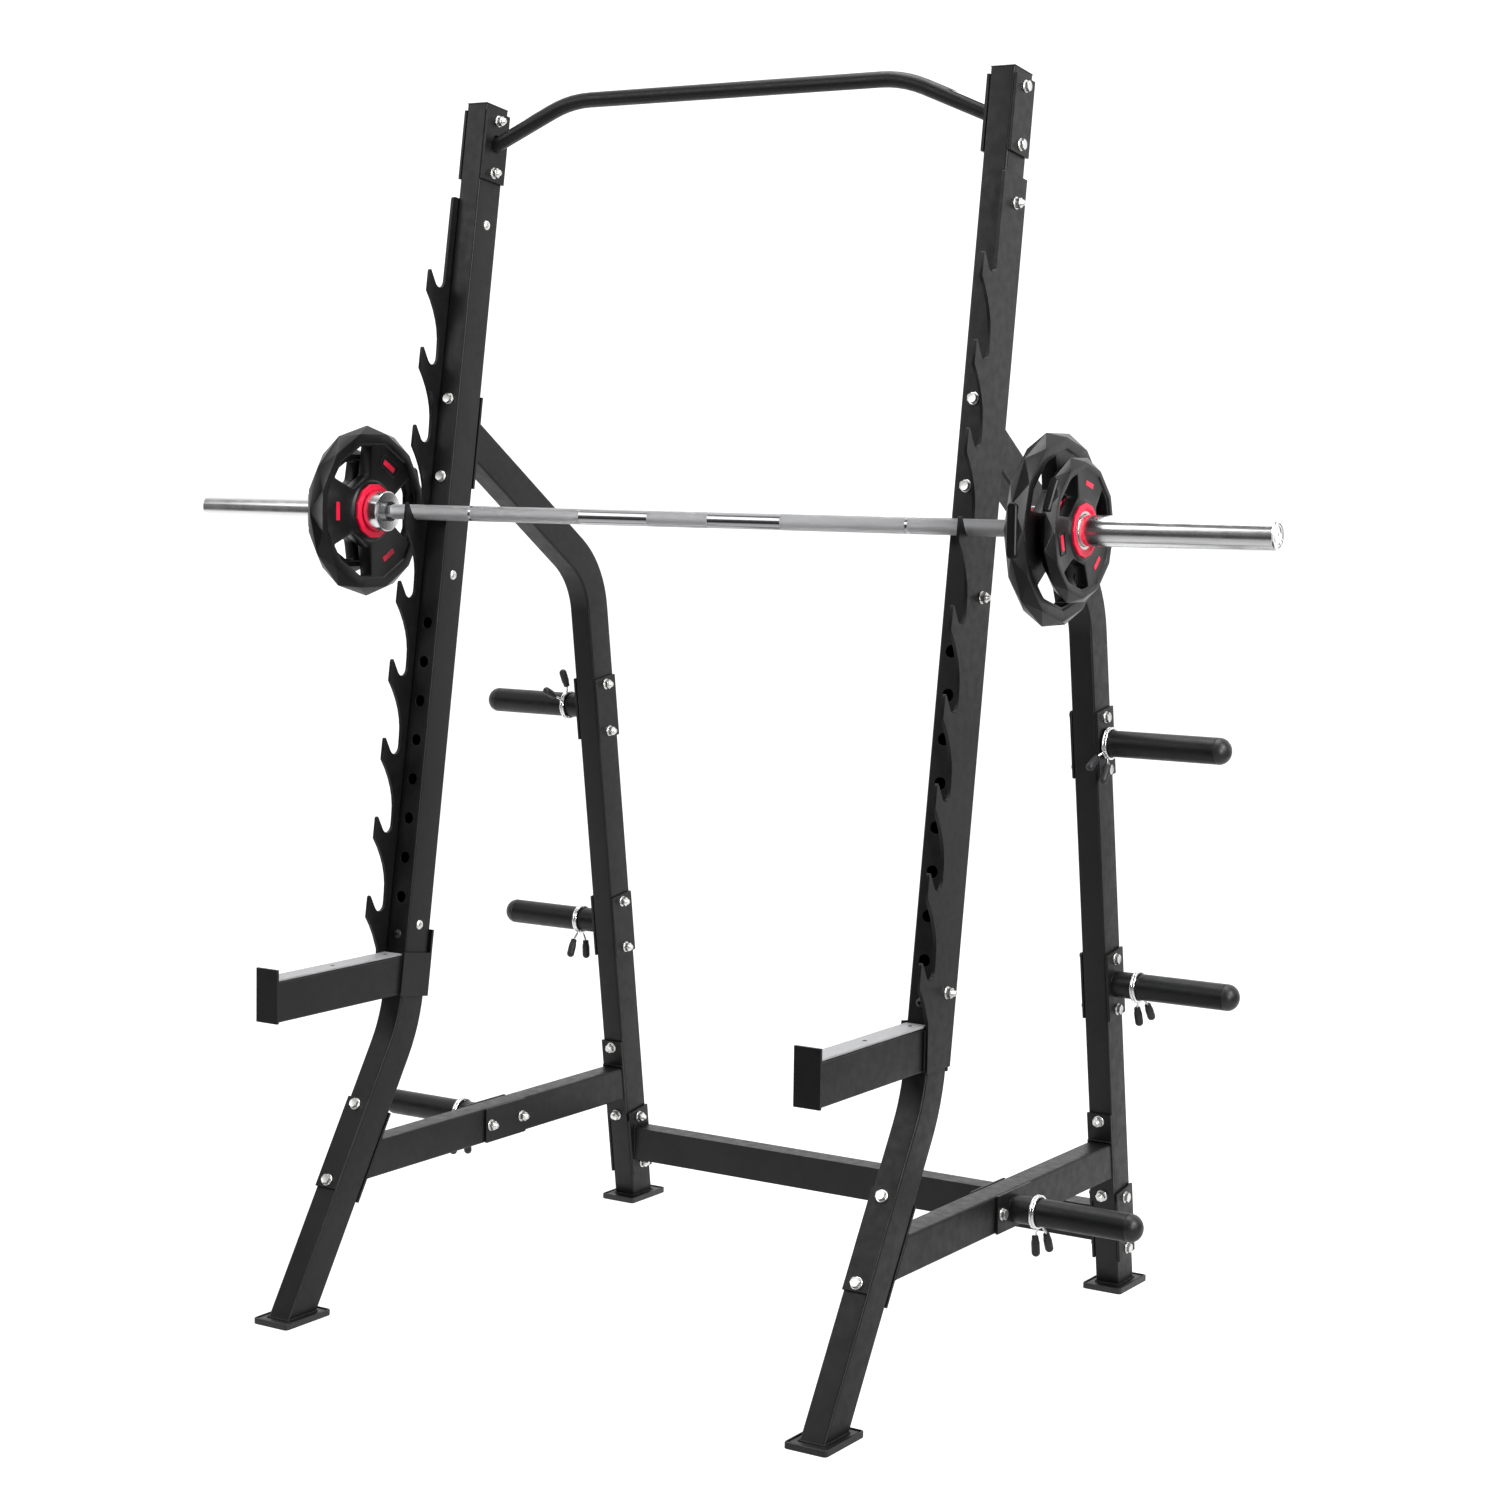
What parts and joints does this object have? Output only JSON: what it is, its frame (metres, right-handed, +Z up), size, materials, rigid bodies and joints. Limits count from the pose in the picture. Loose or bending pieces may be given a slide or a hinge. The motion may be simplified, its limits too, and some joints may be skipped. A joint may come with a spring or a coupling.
{
  "type": "squat rack with barbell",
  "caption": "Free-standing steel squat rack with stepped bar hooks, safety arms, pull-up bar, plate storage pegs with spring collars, and a loaded barbell.",
  "frame": {"origin": "on the floor, at the centre of the object's outline seen from above", "axes": "+X to the right of a person who faces the rack from its front, +Y to the back, +Z up"},
  "size_m": [2.2, 1.1794, 2.1915],
  "materials": {
    "frame_paint": "satin black powder coat, fine texture",
    "black_plastic": "moulded, matt",
    "arm_liner": "hard wear strip, scuffed",
    "bar_chrome": "hard chrome, knurled grip areas",
    "plate_black": "cast iron with a black moulded coat",
    "collar_steel": "bright spring wire",
    "zinc_hardware": "bright zinc plate on bolts, nuts and washers",
    "hub_red": "moulded red hub ring and marks",
    "grip_rubber": "dipped handle grips"
  },
  "bodies": {
    "frame": {"cross_backing_plate_left": "frame_paint", "cross_backing_plate_right": "frame_paint", "foot_shoe_back_left": "black_plastic", "foot_shoe_back_right": "black_plastic", "foot_shoe_front_left": "black_plastic", "foot_shoe_front_right": "black_plastic", "leg_backing_plate_left": "frame_paint", "leg_backing_plate_right": "frame_paint", "peg_cap_base_left": "black_plastic", "peg_cap_base_right": "black_plastic", "peg_cap_lower_left": "black_plastic", "peg_cap_lower_right": "black_plastic", "peg_cap_upper_left": "black_plastic", "peg_cap_upper_right": "black_plastic", "pullup_backing_plate_left": "frame_paint", "pullup_backing_plate_right": "frame_paint", "pullup_bar": "frame_paint", "racking_plate_left": "frame_paint", "racking_plate_right": "frame_paint", "rear_crossmember": "frame_paint", "rear_leg_left": "frame_paint", "rear_leg_right": "frame_paint", "safety_arm_left": "frame_paint", "safety_arm_right": "frame_paint", "safety_liner_left": "arm_liner", "safety_liner_right": "arm_liner", "side_base_tube_left": "frame_paint", "side_base_tube_right": "frame_paint", "storage_peg_base_left": "frame_paint", "storage_peg_base_right": "frame_paint", "storage_peg_lower_left": "frame_paint", "storage_peg_lower_right": "frame_paint", "storage_peg_upper_left": "frame_paint", "storage_peg_upper_right": "frame_paint", "upright_cap_left": "black_plastic", "upright_cap_right": "black_plastic", "upright_left": "frame_paint", "upright_right": "frame_paint"},
    "bar_shaft": {"barbell_shaft": "bar_chrome"},
    "bar_sleeve_left": {"barbell_sleeve_left": "bar_chrome"},
    "plate_10_left": {"weight_plate_10_left": "plate_black"},
    "plate_5_left": {"weight_plate_5_left": "plate_black"},
    "bar_sleeve_right": {"barbell_sleeve_right": "bar_chrome"},
    "plate_10_right": {"weight_plate_10_right": "plate_black"},
    "plate_5_right": {"weight_plate_5_right": "plate_black"},
    "collar_upper_right": {"collar_coil_upper_right": "collar_steel"},
    "collar_handle_upper_right": {"collar_lever_upper_right": "collar_steel"},
    "collar_lower_right": {"collar_coil_lower_right": "collar_steel"},
    "collar_handle_lower_right": {"collar_lever_lower_right": "collar_steel"},
    "collar_base_right": {"collar_coil_base_right": "collar_steel"},
    "collar_handle_base_right": {"collar_lever_base_right": "collar_steel"},
    "collar_upper_left": {"collar_coil_upper_left": "collar_steel"},
    "collar_handle_upper_left": {"collar_lever_upper_left": "collar_steel"},
    "collar_lower_left": {"collar_coil_lower_left": "collar_steel"},
    "collar_handle_lower_left": {"collar_lever_lower_left": "collar_steel"},
    "collar_base_left": {"collar_coil_base_left": "collar_steel"},
    "collar_handle_base_left": {"collar_lever_base_left": "collar_steel"}
  },
  "joints": [
    {"name": "barbell_lift", "type": "slide", "parent": "frame", "child": "bar_shaft", "axis": [0, -0.2914, 0.9566], "range_m": [0, 0.35]},
    {"name": "sleeve_spin_left", "type": "hinge", "parent": "bar_shaft", "child": "bar_sleeve_left", "pos_m": [0, -0.15883, 1.42322], "axis": [1, 0, 0], "continuous": true},
    {"name": "plate_10_slide_left", "type": "slide", "parent": "bar_sleeve_left", "child": "plate_10_left", "axis": [-1, 0, 0], "range_m": [0, 0.15]},
    {"name": "plate_5_slide_left", "type": "slide", "parent": "plate_10_left", "child": "plate_5_left", "axis": [-1, 0, 0], "range_m": [0, 0.15]},
    {"name": "sleeve_spin_right", "type": "hinge", "parent": "bar_shaft", "child": "bar_sleeve_right", "pos_m": [0, -0.15883, 1.42322], "axis": [1, 0, 0], "continuous": true},
    {"name": "plate_10_slide_right", "type": "slide", "parent": "bar_sleeve_right", "child": "plate_10_right", "axis": [1, 0, 0], "range_m": [0, 0.15]},
    {"name": "plate_5_slide_right", "type": "slide", "parent": "plate_10_right", "child": "plate_5_right", "axis": [1, 0, 0], "range_m": [0, 0.15]},
    {"name": "collar_slide_upper_right", "type": "slide", "parent": "frame", "child": "collar_upper_right", "axis": [1, 0, 0], "range_m": [0, 0.195]},
    {"name": "collar_squeeze_upper_right", "type": "hinge", "parent": "collar_upper_right", "child": "collar_handle_upper_right", "pos_m": [0.573, 0.37977, 1.03064], "axis": [-1, 0, 0], "range_deg": [0, 18], "stiffness_Nm_per_rad": 1.5},
    {"name": "collar_slide_lower_right", "type": "slide", "parent": "frame", "child": "collar_lower_right", "axis": [1, 0, 0], "range_m": [-0.017, 0.16]},
    {"name": "collar_squeeze_lower_right", "type": "hinge", "parent": "collar_lower_right", "child": "collar_handle_lower_right", "pos_m": [0.609, 0.44578, 0.58364], "axis": [-1, 0, 0], "range_deg": [0, 18], "stiffness_Nm_per_rad": 1.5},
    {"name": "collar_slide_base_right", "type": "slide", "parent": "frame", "child": "collar_base_right", "axis": [1, 0, 0], "range_m": [-0.018, 0.16]},
    {"name": "collar_squeeze_base_right", "type": "hinge", "parent": "collar_base_right", "child": "collar_handle_base_right", "pos_m": [0.61, 0.05931, 0.251], "axis": [-1, 0, 0], "range_deg": [0, 18], "stiffness_Nm_per_rad": 1.5},
    {"name": "collar_slide_upper_left", "type": "slide", "parent": "frame", "child": "collar_upper_left", "axis": [-1, 0, 0], "range_m": [-0.013, 0.165]},
    {"name": "collar_squeeze_upper_left", "type": "hinge", "parent": "collar_upper_left", "child": "collar_handle_upper_left", "pos_m": [-0.629, 0.37977, 1.03064], "axis": [-1, 0, 0], "range_deg": [0, 30], "stiffness_Nm_per_rad": 1.5},
    {"name": "collar_slide_lower_left", "type": "slide", "parent": "frame", "child": "collar_lower_left", "axis": [-1, 0, 0], "range_m": [-0.024, 0.155]},
    {"name": "collar_squeeze_lower_left", "type": "hinge", "parent": "collar_lower_left", "child": "collar_handle_lower_left", "pos_m": [-0.64, 0.44578, 0.58364], "axis": [1, 0, 0], "range_deg": [0, 18], "stiffness_Nm_per_rad": 1.5},
    {"name": "collar_slide_base_left", "type": "slide", "parent": "frame", "child": "collar_base_left", "axis": [-1, 0, 0], "range_m": [-0.026, 0.15]},
    {"name": "collar_squeeze_base_left", "type": "hinge", "parent": "collar_base_left", "child": "collar_handle_base_left", "pos_m": [-0.642, 0.05931, 0.251], "axis": [1, 0, 0], "range_deg": [0, 18], "stiffness_Nm_per_rad": 1.5}
  ]
}
